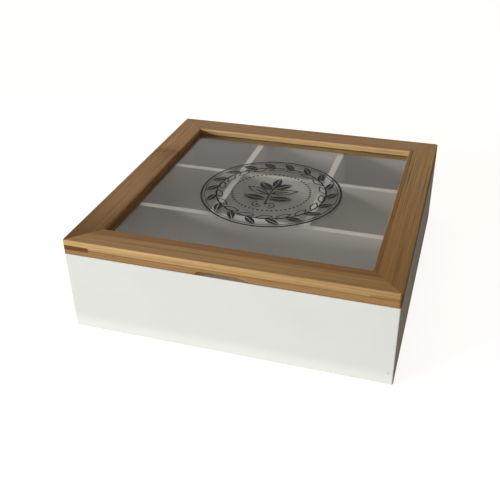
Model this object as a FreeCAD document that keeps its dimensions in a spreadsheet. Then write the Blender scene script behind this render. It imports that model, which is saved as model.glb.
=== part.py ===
import FreeCAD, Part
import os
import re
import Sketcher

from FreeCAD import Placement, Rotation, Vector

# Tea box with a hinged lid. A painted box of butted boards holds a lattice of dividers that makes
# seven compartments. The lid is a mitred frame with a splined corner joint and a pane of glass in
# its groove, and it turns on two stop hinges at the back.
#
# Millimetres. The origin is in the middle of the underside, +Z is up and -Y is the front.

# ---------------------------------------------------------------- sizes
# name: (value, what it measures)
SIZES = {
    "box_width": (240.0, "outside of the box, left to right"),
    "box_depth": (240.0, "outside of the box, front to back"),
    "body_height": (64.0, "height of the box without the lid"),
    "wall_thick": (10.0, "thickness of the four walls"),
    "box_corner_round": (1.2, "radius of the upright corners of the box"),
    "lid_corner_round": (2.0, "radius of the upright corners of the lid"),
    "foot_round": (1.1, "radius of the box's lower outer edge"),
    "edge_round": (0.8, "radius of the lid's upper outer edge"),
    "joint_round": (0.3, "radius of the two edges where lid and box meet"),
    "fit_gap": (0.1, "clearance of glued and slotted joints, each side"),
    "floor_thick": (4.0, "thickness of the bottom panel"),
    "floor_rebate": (5.0, "width of the rebate that takes the bottom panel"),
    "divider_thick": (5.5, "thickness of the dividers"),
    "divider_drop": (0.5, "dividers end this far below the rim"),
    "divider_housing": (3.0, "depth of the housings in the walls"),
    "divider_stub": (1.5, "depth of the housings in the front cross divider"),
    "brad_radius": (0.7, "shank of the corner and floor brads"),
    "brad_head_radius": (1.1, "head of the brads"),
    "brad_head_thick": (0.6, "thickness of a brad's head"),
    "brad_length": (24.0, "corner brad, head to point"),
    "brad_cover": (1.0, "filler and paint over a corner brad's head"),
    "brad_inset": (4.0, "corner brad from the outside of the side wall"),
    "brad_margin": (10.0, "highest and lowest corner brad from the wall's edges"),
    "floor_brad_length": (14.0, "floor brad, head to point"),
    "floor_brad_pitch": (75.0, "spacing of the floor brads along a wall"),
    "lid_gap": (0.3, "gap between the rim and the closed lid"),
    "lid_thick": (11.1, "thickness of the lid's frame"),
    "frame_width": (22.5, "width of the lid's rails and stiles"),
    "window_round": (1.2, "radius of the frame's upper edge round the glass"),
    "glass_thick": (3.0, "thickness of the pane"),
    "glass_drop": (4.8, "top of the pane below the top of the frame"),
    "glass_groove": (5.0, "depth of the groove for the pane"),
    "glass_play": (0.5, "room round the pane's edges in the groove"),
    "spline_leg": (20.2, "length of a corner spline along each face of the lid"),
    "spline_thick": (3.6, "thickness of the corner splines"),
    "spline_drop": (3.9, "top of the splines below the top of the frame"),
    "scoop_span": (28.0, "straight part of the finger scoop"),
    "scoop_radius": (7.0, "radius of the scoop's hollow"),
    "scoop_height": (3.4, "height of the scoop at the front face"),
    "scoop_depth": (4.0, "depth of the scoop in its middle"),
    "hinge_inset": (48.0, "middle of a hinge from the side of the box"),
    "hinge_width": (30.0, "length of a hinge along its pin"),
    "leaf_thick": (1.0, "thickness of the hinge plates"),
    "leaf_depth": (8.0, "reach of the hinge plates into the wood"),
    "barrel_radius": (2.0, "outside of the hinge knuckles"),
    "barrel_gap": (0.3, "between a knuckle and the wood or plate it turns past"),
    "knuckle_width": (12.0, "length of the lid's knuckle"),
    "knuckle_gap": (0.3, "gap between neighbouring knuckles"),
    "pin_radius": (0.9, "hinge pin"),
    "pin_gap": (0.05, "running clearance of the hinge pin"),
    "pin_head_radius": (1.4, "peened ends of the hinge pin"),
    "pin_head_thick": (0.5, "thickness of the peened ends"),
    "stop_angle": (95.0, "how far the hinge lets the lid open"),
    "stop_slack": (1.0, "angle left between the stop fins with the lid fully open"),
    "stop_length": (6.5, "reach of the stop fins from the pin's axis"),
    "screw_pitch": (18.0, "between the two screws of a hinge plate"),
    "screw_radius": (0.9, "shank of the hinge screws"),
    "screw_head_radius": (1.8, "countersunk head of the hinge screws"),
    "screw_length": (8.0, "hinge screw, head to point"),
    "screw_point": (2.0, "length of the screw's point"),
    "cross_width": (0.5, "width of the cross in the screw head"),
    "cross_length": (2.0, "length of the cross in the screw head"),
    "cross_depth": (0.5, "depth of the cross in the screw head"),
}

doc = FreeCAD.newDocument("tea_box")
sheet = doc.addObject("Spreadsheet::Sheet", "Sizes")
for row, (alias, (value, meaning)) in enumerate(SIZES.items(), start=1):
    sheet.set(f"A{row}", alias)
    sheet.set(f"B{row}", str(value))
    sheet.setAlias(f"B{row}", alias)
    sheet.set(f"C{row}", meaning)
doc.recompute()

# ---------------------------------------------------------------- places worked out from the sizes
INNER_WIDTH = "(box_width - 2 * wall_thick)"
INNER_DEPTH = "(box_depth - 2 * wall_thick)"
# three equal compartments across and three deep, with a divider between neighbours
COLUMN = f"(({INNER_WIDTH} - 2 * divider_thick) / 6 + divider_thick / 2)"
ROW = f"(({INNER_DEPTH} - 2 * divider_thick) / 6 + divider_thick / 2)"
DIVIDER_HEIGHT = "(body_height - divider_drop - floor_thick)"
HOUSING = "(divider_thick + 2 * fit_gap)"
LID_BASE = "(body_height + lid_gap)"
LID_TOP = "(body_height + lid_gap + lid_thick)"
GLASS_BASE = f"({LID_TOP} - glass_drop - glass_thick)"
SPLINE_BASE = f"({LID_TOP} - spline_drop - spline_thick)"
PIN_DEPTH = "(box_depth / 2 + barrel_radius + barrel_gap)"
PIN_HEIGHT = "(body_height + lid_gap / 2)"
SCREW_DEPTH = "(box_depth / 2 - leaf_depth / 2)"
SCREW_HEAD = "(screw_head_radius - screw_radius)"
HALF_ROOT = "0.5 * sqrt(2)"


def formula(text):
    """Turn words of SIZES into references to the sheet's cells."""
    return re.sub(r"[a-z_]+", lambda m: f"Sizes.{m.group()}" if m.group() in SIZES else m.group(), text)


def number(text):
    """Value of a formula, for a sketch's first draft and for picking edges."""
    return float(sheet.evalExpression(formula(text)))


# ---------------------------------------------------------------- solids bound to the sheet
TO_X = (Rotation(Vector(0, 1, 0), 90), (1, 0, 0))
TO_Y = (Rotation(Vector(1, 0, 0), -90), (0, 1, 0))
TO_FRONT = (Rotation(Vector(1, 0, 0), 90), (0, -1, 0))
UP = (Rotation(), (0, 0, 1))
DOWN = (Rotation(Vector(1, 0, 0), 180), (0, 0, -1))


def bind(thing, **formulas):
    for name, text in formulas.items():
        thing.setExpression(name, formula(text))
    return thing


def place(thing, at, turn=Rotation()):
    thing.Placement = Placement(Vector(), turn)
    for axis, text in zip("xyz", at):
        thing.setExpression(f"Placement.Base.{axis}", formula(text))
    return thing


def block(name, at, length, width, height, turn=Rotation()):
    """Box with its lowest corner at a point."""
    box = doc.addObject("Part::Box", name)
    bind(box, Length=length, Width=width, Height=height)
    return place(box, at, turn)


def centred_block(name, x, y, z, length, width, height):
    """Box centred on x and y that stands on z."""
    return block(name, (f"{x} - {length} / 2", f"{y} - {width} / 2", z), length, width, height)


def turned(name, at, heading, sections):
    """Round pin or hole: sections (start, end, first radius, last radius) along a heading from a point."""
    turn, direction = heading
    solids = []
    for start, end, first, last in sections:
        kind = "Part::Cylinder" if first == last else "Part::Cone"
        solid = doc.addObject(kind, f"{name}_section")
        if first == last:
            bind(solid, Radius=first, Height=f"{end} - ({start})")
        else:
            bind(solid, Radius1=first, Radius2=last, Height=f"{end} - ({start})")
        base = [f"{at[i]} + {direction[i]} * ({start})" for i in range(3)]
        solids.append(place(solid, base, turn))
    return solids[0] if len(solids) == 1 else fused(name, solids)


def fused(name, solids):
    union = doc.addObject("Part::MultiFuse", name)
    union.Shapes = solids
    return union


def common(name, first, second):
    overlap = doc.addObject("Part::Common", name)
    overlap.Base = first
    overlap.Tool = second
    return overlap


def cut(name, base, tools):
    result = doc.addObject("Part::Cut", name)
    result.Base = base
    result.Tool = tools[0] if len(tools) == 1 else fused(f"{name}_tools", tools)
    return result


def group(name, solids):
    """Like fasteners that stay separate solids in one node."""
    compound = doc.addObject("Part::Compound", name)
    compound.Links = solids
    return compound


# ---------------------------------------------------------------- sketched bodies
def origin_plane(body, role):
    return next(plane for plane in body.Origin.OriginFeatures if plane.Role == role)


def new_sketch(body, role):
    sketch = body.newObject("Sketcher::SketchObject", f"{body.Name}_sketch")
    sketch.AttachmentSupport = (origin_plane(body, role), "")
    sketch.MapMode = "FlatFace"
    return sketch


def draw_outline(sketch, points):
    """Closed outline through points given as pairs of formulas, each corner held to the origin."""
    corners = [Vector(number(x), number(y), 0) for x, y in points]
    first = sketch.GeometryCount
    for start, end in zip(corners, corners[1:] + corners[:1]):
        sketch.addGeometry(Part.LineSegment(start, end), False)
    for index, (x, y) in enumerate(points):
        line = first + index
        before = first + (index - 1) % len(points)
        sketch.addConstraint(Sketcher.Constraint("Coincident", before, 2, line, 1))
        for kind, axis, text in (("DistanceX", -2, x), ("DistanceY", -1, y)):
            if number(text) == 0:
                sketch.addConstraint(Sketcher.Constraint("PointOnObject", line, 1, axis))
                continue
            name = f"corner_{line}_{kind[-1].lower()}"
            held = sketch.addConstraint(Sketcher.Constraint(kind, -1, 1, line, 1, number(text)))
            sketch.renameConstraint(held, name)
            sketch.setExpression(f"Constraints.{name}", formula(text))


def draw_rectangle(sketch, length, width):
    """Rectangle centred on the sketch's origin."""
    right, top = f"{length} / 2", f"{width} / 2"
    left, bottom = f"-({right})", f"-({top})"
    draw_outline(sketch, [(left, bottom), (right, bottom), (right, top), (left, top)])


def fillet(body, feature, radius, picked):
    """Round the edges of a feature for which picked(edge) is true."""
    doc.recompute()
    names = [f"Edge{i}" for i, edge in enumerate(feature.Shape.Edges, start=1) if picked(edge)]
    rounding = body.newObject("PartDesign::Fillet", f"{body.Name}_fillet")
    rounding.Base = (feature, names)
    return bind(rounding, Radius=radius)


def level(edge, height):
    """True for an edge that lies flat at a height above the sketch."""
    return abs(edge.BoundBox.ZMin - height) < 1e-4 and abs(edge.BoundBox.ZMax - height) < 1e-4


def outer(edge):
    """True for an edge on the outside of the box's plan."""
    box = edge.BoundBox
    reach_x = number("box_width / 2 - max(box_corner_round; lid_corner_round)") - 1e-4
    reach_y = number("box_depth / 2 - max(box_corner_round; lid_corner_round)") - 1e-4
    return max(abs(box.XMin + box.XMax) / 2 - reach_x, abs(box.YMin + box.YMax) / 2 - reach_y) > 0


def rounded_blank(name, height, base, rounds, opening=None):
    """Board or frame of the box's plan, its upright, upper and lower outer edges rounded as a whole."""
    corner_round, top_round, bottom_round = rounds
    body = doc.addObject("PartDesign::Body", name)
    place(body, ("0", "0", base))
    sketch = new_sketch(body, "XY_Plane")
    draw_rectangle(sketch, "box_width", "box_depth")
    if opening:
        draw_rectangle(sketch, *opening)
    pad = body.newObject("PartDesign::Pad", f"{name}_pad")
    pad.Profile = sketch
    bind(pad, Length=height)
    top = number(height)
    corners = fillet(body, pad, corner_round,
                     lambda edge: edge.BoundBox.ZLength > top / 2 and outer(edge))
    upper = fillet(body, corners, top_round, lambda edge: level(edge, top) and outer(edge))
    lower = fillet(body, upper, bottom_round, lambda edge: level(edge, 0) and outer(edge))
    if opening:
        fillet(body, lower, "window_round", lambda edge: level(edge, top) and not outer(edge))
    return body


def divider_blank(name, role, points, at):
    """Divider cut to its outline, with the thickness shared either side of the outline's plane."""
    body = doc.addObject("PartDesign::Body", name)
    place(body, at)
    sketch = new_sketch(body, role)
    draw_outline(sketch, points)
    pad = body.newObject("PartDesign::Pad", f"{name}_pad")
    pad.Profile = sketch
    pad.Midplane = True
    bind(pad, Length="divider_thick")
    return body


# ---------------------------------------------------------------- brads
def brad_sections(length, gap="0"):
    head = f"brad_head_radius + {gap}"
    shank = f"brad_radius + {gap}"
    return [("0", "brad_head_thick", head, head), ("brad_head_thick", f"{length} + {gap}", shank, shank)]


def corner_brads():
    """Through the front and back panels into the ends of the sides: (brads, holes for front, for back)."""
    heights = ("brad_margin", "body_height / 2", "body_height - brad_margin")
    brads, front_holes, back_holes = [], [], []
    for heading, side_y, holes in ((TO_Y, -1, front_holes), (TO_FRONT, 1, back_holes)):
        for side_x in (-1, 1):
            for height in heights:
                at = (f"{side_x} * (box_width / 2 - brad_inset)", f"{side_y} * (box_depth / 2 - brad_cover)", height)
                brads.append(turned("corner_brad", at, heading, brad_sections("brad_length")))
                holes.append(turned("corner_brad_hole", at, heading, brad_sections("brad_length", "fit_gap")))
    return brads, front_holes, back_holes


def floor_brads():
    """Up through the edge of the bottom panel into the four walls: (brads, holes)."""
    brads, holes = [], []
    for step in (-1, 0, 1):
        along = f"{step} * floor_brad_pitch"
        for side in (-1, 1):
            across_x = f"{side} * ({INNER_WIDTH} / 2 + floor_rebate / 2)"
            across_y = f"{side} * ({INNER_DEPTH} / 2 + floor_rebate / 2)"
            for at in ((along, across_y, "0"), (across_x, along, "0")):
                brads.append(turned("floor_brad", at, UP, brad_sections("floor_brad_length")))
                holes.append(turned("floor_brad_hole", at, UP, brad_sections("floor_brad_length", "fit_gap")))
    return brads, holes


# ---------------------------------------------------------------- hinges
HINGE_SIDES = {"left": -1, "right": 1}


def hinge_centre(side):
    return f"({side} * (box_width / 2 - hinge_inset))"


def screw_places(side):
    return [f"({hinge_centre(side)} + {half} * screw_pitch / 2)" for half in (-1, 1)]


def mortise(side, base, height):
    """Recess for one hinge plate, open at the back of the box."""
    return block("mortise", (f"{hinge_centre(side)} - hinge_width / 2 - fit_gap",
                             "box_depth / 2 - leaf_depth - fit_gap", base),
                 "hinge_width + 2 * fit_gap", "leaf_depth + 2 * fit_gap", height)


def pilot_holes(side, face, heading):
    """Screw holes in the wood under one hinge plate."""
    radius = "screw_radius + fit_gap"
    sections = [("0", "screw_length + fit_gap", radius, radius)]
    return [turned("pilot_hole", (x, SCREW_DEPTH, face), heading, sections) for x in screw_places(side)]


def hinge_screw(x, face, heading):
    """Countersunk cross-head screw with its head flush with a hinge plate."""
    shank_end = "(screw_length - screw_point)"
    at = (x, SCREW_DEPTH, face)
    blank = turned("screw_blank", at, heading, [
        ("0", SCREW_HEAD, "screw_head_radius", "screw_radius"),
        (SCREW_HEAD, shank_end, "screw_radius", "screw_radius"),
        (shank_end, "screw_length", "screw_radius", "0"),
    ])
    base = f"{face} - {'cross_depth' if heading is DOWN else '0'}"
    slots = [
        centred_block("cross_slot", x, SCREW_DEPTH, base, "cross_length", "cross_width", "cross_depth"),
        centred_block("cross_slot", x, SCREW_DEPTH, base, "cross_width", "cross_length", "cross_depth"),
    ]
    return cut("screw", blank, slots)


def barrel(name, start, end, radius):
    """Round bar on the hinge's axis between two places along it."""
    return turned(name, (start, PIN_DEPTH, PIN_HEIGHT), TO_X, [("0", f"({end}) - ({start})", radius, radius)])


def stop_fin(name, side, angle, shift):
    """Fin that stands out from the barrel at an angle and meets the other plate's fin when open."""
    start = f"{hinge_centre(side)} - hinge_width / 2"
    at = (start, f"{PIN_DEPTH} - ({shift}) * sin(({angle}) * 1deg)",
          f"{PIN_HEIGHT} + ({shift}) * cos(({angle}) * 1deg)")
    fin = block(name, at, "hinge_width", "stop_length", "leaf_thick")
    fin.Placement = Placement(Vector(), Rotation(Vector(1, 0, 0), number(angle)))
    fin.setExpression("Placement.Rotation.Angle", formula(angle))
    return fin


def hinge_leaf(name, side, plate_base, own, others, angle, shift, face, heading):
    """Hinge plate with its own knuckles, its stop fin and two countersunk holes."""
    centre = hinge_centre(side)
    plate = block("plate", (f"{centre} - hinge_width / 2", "box_depth / 2 - leaf_depth", plate_base),
                  "hinge_width", f"{PIN_DEPTH} - box_depth / 2 + leaf_depth", "leaf_thick")
    knuckles = [barrel("knuckle", start, end, "barrel_radius") for start, end in own]
    solid = fused(f"{name}_blank", [plate, stop_fin("fin", side, angle, shift)] + knuckles)
    ends = (f"{centre} - hinge_width", f"{centre} + hinge_width")
    tools = [barrel("bore", *ends, "pin_radius + pin_gap")]
    tools += [barrel("relief", start, end, "barrel_radius + barrel_gap") for start, end in others]
    for x in screw_places(side):
        tools.append(turned("countersink", (x, SCREW_DEPTH, face), heading, [
            ("0", SCREW_HEAD, "screw_head_radius + fit_gap", "screw_radius + fit_gap"),
            (SCREW_HEAD, "2 * leaf_thick", "screw_radius + fit_gap", "screw_radius + fit_gap"),
        ]))
    return cut(name, solid, tools)


def hinge(side_name):
    """Both plates and the pin of one stop hinge."""
    side = HINGE_SIDES[side_name]
    centre = hinge_centre(side)
    ends = [f"{centre} {sign} hinge_width / 2" for sign in "-+"]
    inner = [f"{centre} {sign} knuckle_width / 2" for sign in "-+"]
    outer_starts = [f"{centre} {sign} (knuckle_width / 2 + knuckle_gap)" for sign in "-+"]
    box_leaf = hinge_leaf(
        f"{side_name}_hinge_box_leaf", side, "body_height - leaf_thick",
        own=[(ends[0], outer_starts[0]), (outer_starts[1], ends[1])],
        others=[(outer_starts[0], outer_starts[1])],
        angle="-stop_angle / 2 - stop_slack", shift="-leaf_thick", face="body_height", heading=DOWN)
    lid_leaf = hinge_leaf(
        f"{side_name}_hinge_lid_leaf", side, LID_BASE,
        own=[(inner[0], inner[1])],
        others=[(f"{centre} - hinge_width", inner[0]), (inner[1], f"{centre} + hinge_width")],
        angle="stop_angle / 2", shift="0", face=LID_BASE, heading=UP)
    shank_end = "hinge_width + pin_head_thick"
    pin_start = (f"{ends[0]} - pin_head_thick", PIN_DEPTH, PIN_HEIGHT)
    pin = turned(f"{side_name}_hinge_pin", pin_start, TO_X, [
        ("0", "pin_head_thick", "pin_head_radius", "pin_head_radius"),
        ("pin_head_thick", shank_end, "pin_radius", "pin_radius"),
        (shank_end, f"{shank_end} + pin_head_thick", "pin_head_radius", "pin_head_radius"),
    ])
    return [box_leaf, lid_leaf, pin]


# ---------------------------------------------------------------- box
def front_panel(blank, brad_holes, nail_holes):
    board = centred_block("front_board", "0", "-(box_depth - wall_thick) / 2", "0",
                          "box_width", "wall_thick", "body_height")
    return cut("front_panel", common("front_shape", blank, board),
               [floor_rebate_tool()] + brad_holes + nail_holes)


def back_panel(blank, brad_holes, nail_holes):
    board = centred_block("back_board", "0", "(box_depth - wall_thick) / 2", "0",
                          "box_width", "wall_thick", "body_height")
    tools = [floor_rebate_tool()] + brad_holes + nail_holes
    for side in HINGE_SIDES.values():
        tools.append(mortise(side, "body_height - leaf_thick", "2 * leaf_thick"))
        tools += pilot_holes(side, "body_height", DOWN)
        tools.append(centred_block("divider_housing", f"{side} * {COLUMN}",
                                   f"({INNER_DEPTH} / 2 + divider_housing / 2)", "floor_thick",
                                   HOUSING, "divider_housing", "body_height"))
    return cut("back_panel", common("back_shape", blank, board), tools)


def side_panel(name, side, blank, brad_holes, nail_holes):
    board = centred_block(f"{name}_board", f"{side} * (box_width - wall_thick) / 2", "0", "0",
                          "wall_thick", INNER_DEPTH, "body_height")
    tools = [floor_rebate_tool()] + brad_holes + nail_holes
    for row in (-1, 1):
        tools.append(centred_block("divider_housing", f"{side} * ({INNER_WIDTH} / 2 + divider_housing / 2)",
                                   f"{row} * {ROW}", "floor_thick", "divider_housing", HOUSING, "body_height"))
    return cut(name, common(f"{name}_shape", blank, board), tools)


def floor_rebate_tool():
    return centred_block("floor_rebate", "0", "0", "-floor_thick", f"({INNER_WIDTH} + 2 * floor_rebate)",
                         f"({INNER_DEPTH} + 2 * floor_rebate)", "2 * floor_thick")


def bottom_panel(nail_holes):
    board = centred_block("bottom_board", "0", "0", "0",
                          f"({INNER_WIDTH} + 2 * (floor_rebate - fit_gap))",
                          f"({INNER_DEPTH} + 2 * (floor_rebate - fit_gap))", "floor_thick")
    return cut("bottom_panel", board, nail_holes)


def cross_outline(slotted):
    """Front view of a divider that runs from side to side, slotted from above where others cross it."""
    end = f"({INNER_WIDTH} / 2 + divider_housing - fit_gap)"
    corners = [(f"-{end}", "0"), (end, "0"), (end, DIVIDER_HEIGHT)]
    if slotted:
        floor = f"({DIVIDER_HEIGHT} / 2)"
        for side in (1, -1):
            for edge in (1, -1):
                x = f"({side} * {COLUMN} + {edge} * {HOUSING} / 2)"
                corners += [(x, DIVIDER_HEIGHT), (x, floor)] if edge == 1 else [(x, floor), (x, DIVIDER_HEIGHT)]
    return corners + [(f"-{end}", DIVIDER_HEIGHT)]


def back_cross_divider():
    return divider_blank("back_cross_divider", "XZ_Plane", cross_outline(True), ("0", ROW, "floor_thick"))


def front_cross_divider():
    blank = divider_blank("front_cross_blank", "XZ_Plane", cross_outline(False), ("0", f"-{ROW}", "floor_thick"))
    housings = [centred_block("stub_housing", f"{side} * {COLUMN}",
                              f"(-{ROW} + divider_thick / 2 - divider_stub / 2)", "floor_thick",
                              HOUSING, "divider_stub", DIVIDER_HEIGHT) for side in (-1, 1)]
    return cut("front_cross_divider", blank, housings)


def long_divider(name, side):
    """Divider from the front cross divider to the back panel, slotted from below."""
    start = f"(-{ROW} + divider_thick / 2 - divider_stub + fit_gap)"
    end = f"({INNER_DEPTH} / 2 + divider_housing - fit_gap)"
    slot_top = f"({DIVIDER_HEIGHT} / 2 + fit_gap)"
    points = [(start, "0")]
    points += [(f"({ROW} - {HOUSING} / 2)", "0"), (f"({ROW} - {HOUSING} / 2)", slot_top)]
    points += [(f"({ROW} + {HOUSING} / 2)", slot_top), (f"({ROW} + {HOUSING} / 2)", "0")]
    points += [(end, "0"), (end, DIVIDER_HEIGHT), (start, DIVIDER_HEIGHT)]
    return divider_blank(name, "YZ_Plane", points, (f"{side} * {COLUMN}", "0", "floor_thick"))


# ---------------------------------------------------------------- lid
CORNERS = {"front_left": (-1, -1), "front_right": (1, -1), "back_left": (-1, 1), "back_right": (1, 1)}


def spline_block(name, side_x, side_y, leg, height):
    """Slab across one corner of the lid, at 45 degrees to its faces."""
    middle_x = f"{side_x} * (box_width / 2 - {leg} / 2)"
    middle_y = f"{side_y} * (box_depth / 2 - {leg} / 2)"
    outward = {(-1, -1): 225, (1, -1): 315, (1, 1): 45, (-1, 1): 135}[side_x, side_y]
    base = (f"{middle_x} - {side_y} * {leg} * {HALF_ROOT}", f"{middle_y} + {side_x} * {leg} * {HALF_ROOT}", SPLINE_BASE)
    return block(name, base, f"2 * {leg}", f"2 * {leg}", height, Rotation(Vector(0, 0, 1), outward - 90))


def mitred_wedge(name, length, at, quarter_turns):
    """Bar with 45 degree ends, its long side outwards."""
    wedge = doc.addObject("Part::Wedge", name)
    bind(wedge, Xmin="0", Ymin="0", Zmin="0", X2min="frame_width", Z2min="0",
         Xmax=length, Ymax="frame_width", Zmax="lid_thick", X2max=f"{length} - frame_width", Z2max="lid_thick")
    return place(wedge, at, Rotation(Vector(0, 0, 1), 90 * quarter_turns))


def scoop_tool():
    """Finger scoop under the lid's front edge: a round hollow, deepest in its middle, with rounded ends."""
    height = f"({LID_BASE} + scoop_height - scoop_radius)"
    bar = turned("scoop_bar", ("-scoop_span / 2", "-box_depth / 2", height), TO_X,
                 [("0", "scoop_span", "scoop_radius", "scoop_radius")])
    ends = []
    for side in (-1, 1):
        ball = bind(doc.addObject("Part::Sphere", "scoop_end"), Radius="scoop_radius")
        ends.append(place(ball, (f"{side} * scoop_span / 2", "-box_depth / 2", height)))
    reach = "(scoop_span / 2 + scoop_radius)"
    sweep = f"(({reach} * {reach} + scoop_depth * scoop_depth) / (2 * scoop_depth))"
    centre = ("0", f"-box_depth / 2 + scoop_depth - {sweep}", f"{LID_BASE} - scoop_radius")
    disc = turned("scoop_sweep", centre, UP, [("0", "2 * scoop_radius", sweep, sweep)])
    return common("scoop", fused("scoop_hollow", [bar] + ends), disc)


def lid_frame(blank):
    """Two rails and two stiles, mitred and grooved for the glass, and the splines in their corners."""
    groove = centred_block("glass_groove_tool", "0", "0", GLASS_BASE,
                           "(box_width - 2 * frame_width + 2 * glass_groove)",
                           "(box_depth - 2 * frame_width + 2 * glass_groove)", "glass_thick + fit_gap")
    slots = {corner: spline_block(f"{corner}_slot", *sides, "spline_leg", "spline_thick")
             for corner, sides in CORNERS.items()}
    back_tools = []
    for side in HINGE_SIDES.values():
        back_tools.append(mortise(side, f"{LID_BASE} - leaf_thick", "2 * leaf_thick"))
        back_tools += pilot_holes(side, LID_BASE, UP)
    left, right, front, back = "-box_width / 2", "box_width / 2", "-box_depth / 2", "box_depth / 2"
    bars = {
        "lid_front_rail": ("box_width", (left, front, LID_BASE), 0, [scoop_tool()], "front_"),
        "lid_right_stile": ("box_depth", (right, front, LID_BASE), 1, [], "_right"),
        "lid_back_rail": ("box_width", (right, back, LID_BASE), 2, back_tools, "back_"),
        "lid_left_stile": ("box_depth", (left, back, LID_BASE), 3, [], "_left"),
    }
    pieces = []
    for name, (length, at, quarter_turns, tools, end_mark) in bars.items():
        shape = common(f"{name}_shape", blank, mitred_wedge(f"{name}_bar", length, at, quarter_turns))
        ends = [slot for corner, slot in slots.items() if end_mark in corner]
        pieces.append(cut(name, shape, [groove] + ends + tools))
    for corner, sides in CORNERS.items():
        slab = spline_block(f"{corner}_slab", *sides, "(spline_leg - fit_gap)", "spline_thick - fit_gap")
        pieces.append(common(f"{corner}_spline", blank, slab))
    return pieces


def window_glass():
    reach = "(glass_groove - glass_play)"
    return centred_block("window_glass", "0", "0", GLASS_BASE, f"(box_width - 2 * frame_width + 2 * {reach})",
                         f"(box_depth - 2 * frame_width + 2 * {reach})", "glass_thick")


# ---------------------------------------------------------------- the whole tea box
def build():
    body_rounds = ("box_corner_round", "joint_round", "foot_round")
    body_blank = rounded_blank("body_blank", "body_height", "0", body_rounds)
    window = ("(box_width - 2 * frame_width)", "(box_depth - 2 * frame_width)")
    lid_rounds = ("lid_corner_round", "edge_round", "joint_round")
    lid_blank = rounded_blank("lid_blank", "lid_thick", LID_BASE, lid_rounds, window)
    brads, front_holes, back_holes = corner_brads()
    nails, nail_holes = floor_brads()
    nodes = [
        front_panel(body_blank, front_holes, nail_holes),
        back_panel(body_blank, back_holes, nail_holes),
        side_panel("left_side_panel", -1, body_blank, front_holes + back_holes, nail_holes),
        side_panel("right_side_panel", 1, body_blank, front_holes + back_holes, nail_holes),
        bottom_panel(nail_holes),
        front_cross_divider(),
        back_cross_divider(),
        long_divider("left_divider", -1),
        long_divider("right_divider", 1),
        group("corner_brads", brads),
        group("floor_brads", nails),
    ]
    nodes += hinge("left") + hinge("right")
    places = [x for side in HINGE_SIDES.values() for x in screw_places(side)]
    nodes.append(group("box_hinge_screws", [hinge_screw(x, "body_height", DOWN) for x in places]))
    nodes.append(group("lid_hinge_screws", [hinge_screw(x, LID_BASE, UP) for x in places]))
    nodes += lid_frame(lid_blank)
    nodes.append(window_glass())
    return nodes


def check_document():
    for thing in doc.Objects:
        if "Invalid" in thing.State or "Error" in thing.State:
            raise RuntimeError(f"{thing.Name} failed: {thing.State}")


def export(nodes):
    os.makedirs("parts", exist_ok=True)
    for node in nodes:
        if node.Shape.isNull() or not node.Shape.isValid() or not node.Shape.Solids:
            raise RuntimeError(f"{node.Name} has no sound solid")
    for node in nodes:
        node.Label = node.Name
        node.Shape.exportStep(f"parts/{node.Name}.step")
        print(f"{node.Name}: {len(node.Shape.Solids)} solid(s), {node.Shape.Volume:.1f} mm3")


pieces = build()
doc.recompute()
check_document()
export(pieces)
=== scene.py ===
from math import cos, pi, radians, sin

import bmesh
import bpy
from bpy.props import FloatProperty, FloatVectorProperty, IntProperty, PointerProperty
from mathutils import Euler, Matrix, Vector


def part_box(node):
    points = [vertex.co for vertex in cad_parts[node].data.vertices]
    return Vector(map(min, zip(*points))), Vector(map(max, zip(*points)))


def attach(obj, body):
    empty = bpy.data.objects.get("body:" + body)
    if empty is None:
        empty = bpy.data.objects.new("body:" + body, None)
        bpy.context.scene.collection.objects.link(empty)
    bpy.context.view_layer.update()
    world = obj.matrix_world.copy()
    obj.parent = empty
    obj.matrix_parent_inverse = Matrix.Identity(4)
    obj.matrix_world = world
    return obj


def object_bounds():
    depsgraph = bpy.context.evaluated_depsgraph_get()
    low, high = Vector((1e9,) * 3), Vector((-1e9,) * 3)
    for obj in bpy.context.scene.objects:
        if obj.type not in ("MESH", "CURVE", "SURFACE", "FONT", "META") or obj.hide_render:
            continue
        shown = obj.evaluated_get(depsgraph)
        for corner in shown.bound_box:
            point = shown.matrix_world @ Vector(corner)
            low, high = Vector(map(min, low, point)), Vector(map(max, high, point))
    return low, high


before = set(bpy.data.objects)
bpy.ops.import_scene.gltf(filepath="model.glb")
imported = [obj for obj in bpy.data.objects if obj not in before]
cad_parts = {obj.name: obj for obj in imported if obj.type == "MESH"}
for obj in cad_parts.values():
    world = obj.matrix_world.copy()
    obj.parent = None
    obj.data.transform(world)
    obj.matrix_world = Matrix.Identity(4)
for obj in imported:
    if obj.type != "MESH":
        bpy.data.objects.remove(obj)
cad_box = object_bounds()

bl_info = {
    "name": "Tea Box",
    "version": (1, 0, 0),
    "blender": (4, 5, 0),
    "location": "View3D > Sidebar > Tea Box",
    "description": "Dresses a tea box with a bamboo lid, a printed glass window and painted walls",
    "category": "Object",
}

MM = 0.001
LID = "lid"
BOX_LOW, BOX_HIGH = cad_box
GLASS_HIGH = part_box("window_glass")[1]
RAIL_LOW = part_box("lid_front_rail")[0]
WALLS = ("front_panel", "back_panel", "left_side_panel", "right_side_panel")
LATTICE = ("front_cross_divider", "back_cross_divider", "left_divider", "right_divider")
DARK_SPLINES = ("front_left_spline", "back_left_spline", "back_right_spline")
LIGHT_SPLINES = ("front_right_spline",)
PLATES = ("left_hinge_box_leaf", "left_hinge_lid_leaf",
          "right_hinge_box_leaf", "right_hinge_lid_leaf")
PINS = ("left_hinge_pin", "right_hinge_pin")
SCREWS = ("box_hinge_screws", "lid_hinge_screws")
BRADS = ("corner_brads", "floor_brads")

# The materials measure in millimetres.
HALF_SPAN = BOX_HIGH.x / MM
WALL_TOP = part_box("front_panel")[1].z / MM
DIVIDER_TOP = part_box("front_cross_divider")[1].z / MM
RAIL_FOOT = RAIL_LOW.z / MM


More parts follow.
